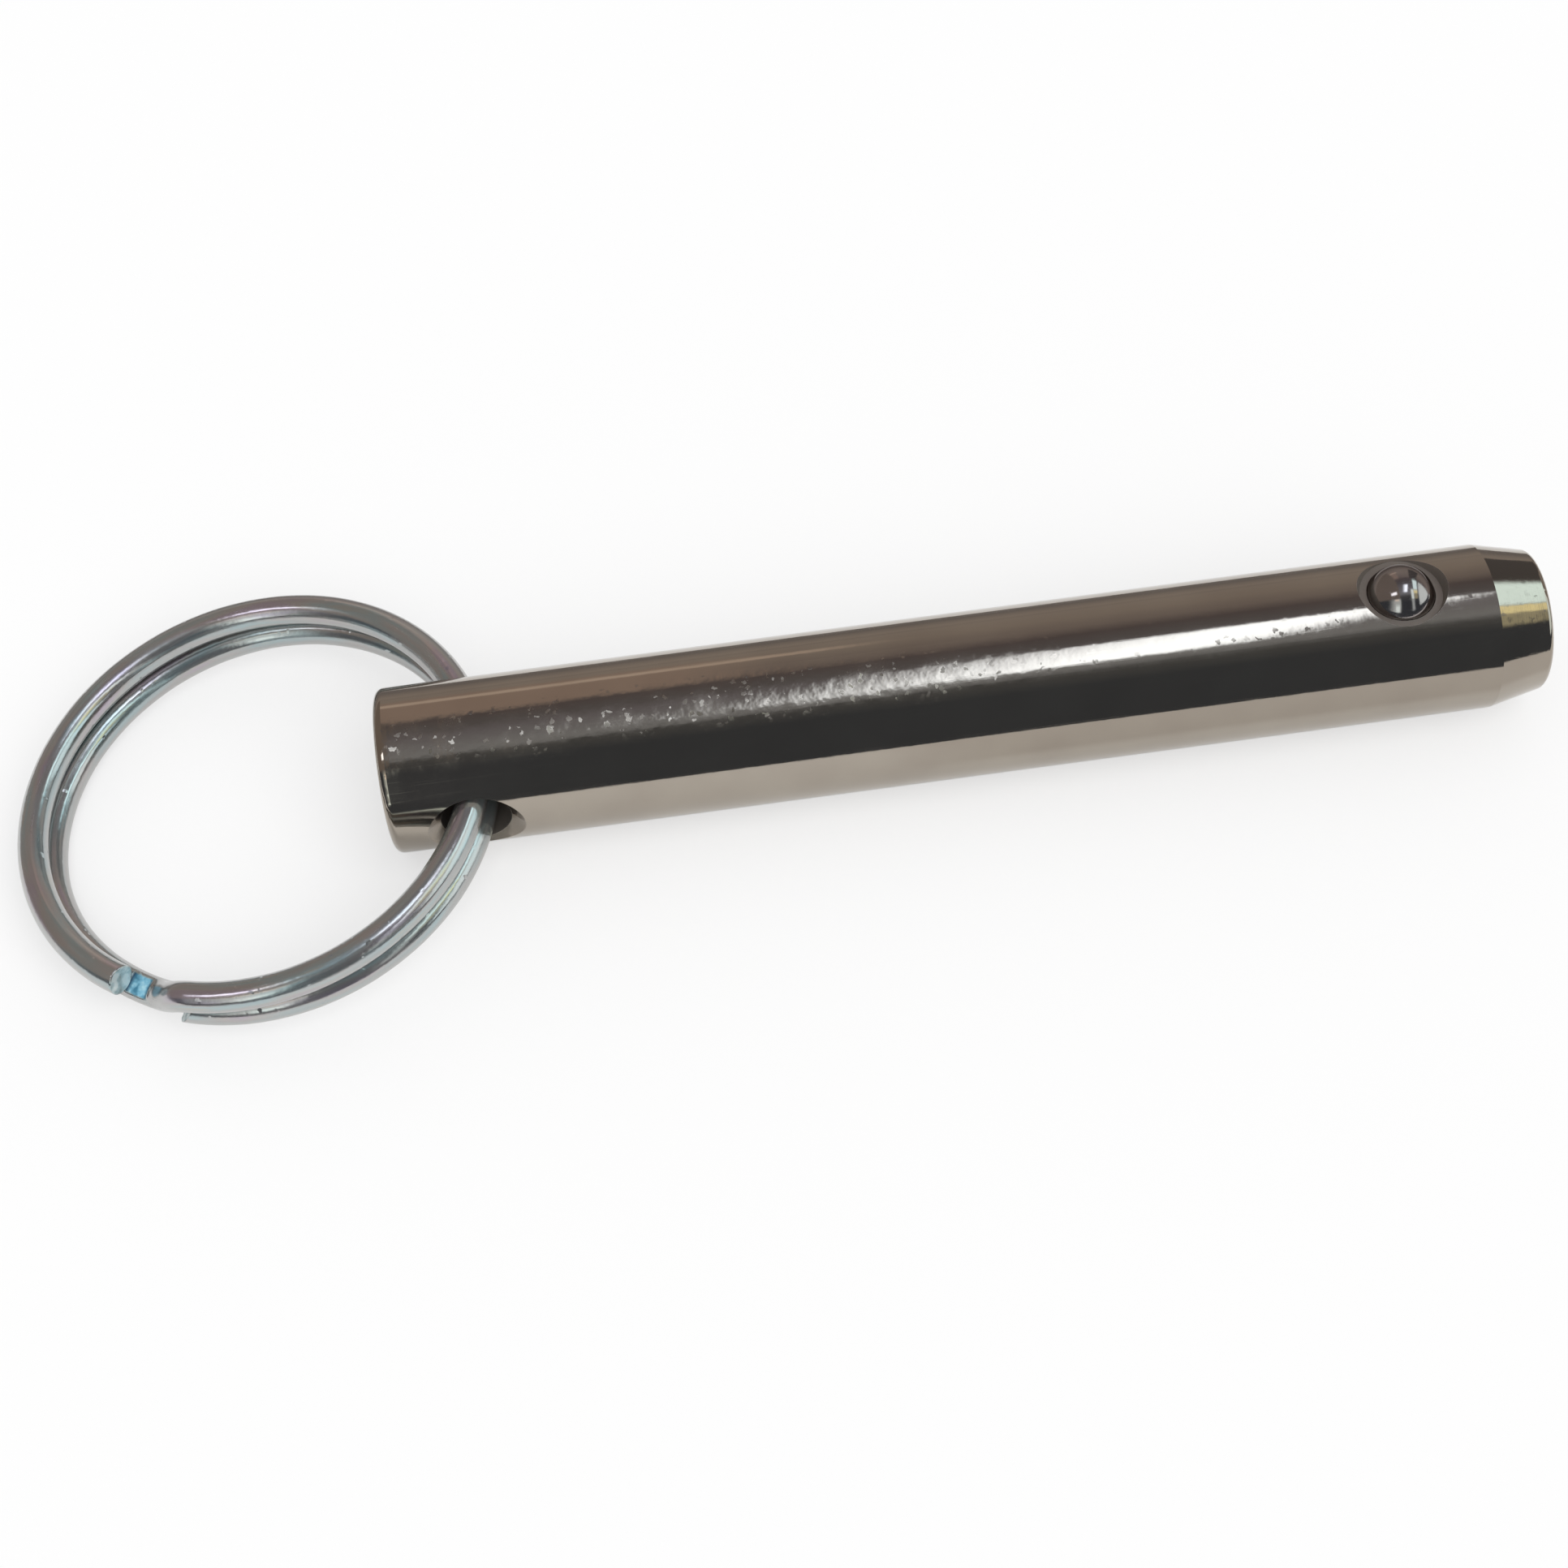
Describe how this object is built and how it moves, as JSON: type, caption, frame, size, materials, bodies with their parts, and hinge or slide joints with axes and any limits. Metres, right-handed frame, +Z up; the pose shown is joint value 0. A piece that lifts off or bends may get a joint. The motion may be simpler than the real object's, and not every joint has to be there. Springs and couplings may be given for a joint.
{
  "type": "ball detent pin with ring handle",
  "caption": "Round quick-release pin with a tapered nose, a spring-loaded detent ball near the tip and a split ring handle through its head end.",
  "frame": {"origin": "centre of the flat head end, on the shank's axis", "axes": "+X along the shank from the head end to the nose, +Z up through the detent ball, +Y along the ring's hole"},
  "size_m": [0.0885, 0.028, 0.0104],
  "materials": {
    "nickel_plate": "bright nickel plating over turned steel, warm, with faint turning marks and a few pits",
    "ball_steel": "polished hardened steel",
    "spring_steel": "drawn spring wire, satin",
    "zinc_plate": "blue-passivated zinc over drawn steel wire"
  },
  "bodies": {
    "shank": {"pin_body": "nickel_plate", "detent_spring": "spring_steel"},
    "ball": {"detent_ball": "ball_steel"},
    "ring": {"split_ring": "zinc_plate"}
  },
  "joints": [
    {"name": "ball_press", "type": "slide", "parent": "shank", "child": "ball", "axis": [0, 0, -1], "range_m": [0, 0.0009], "stiffness_N_per_m": 3000, "springref_m": -0.0015, "deforming": ["detent_spring"]},
    {"name": "ring_swing", "type": "hinge", "parent": "shank", "child": "ring", "pos_m": [0.00495, 0, 0], "axis": [0, 1, 0], "range_deg": [-157.5, 170.5]}
  ]
}
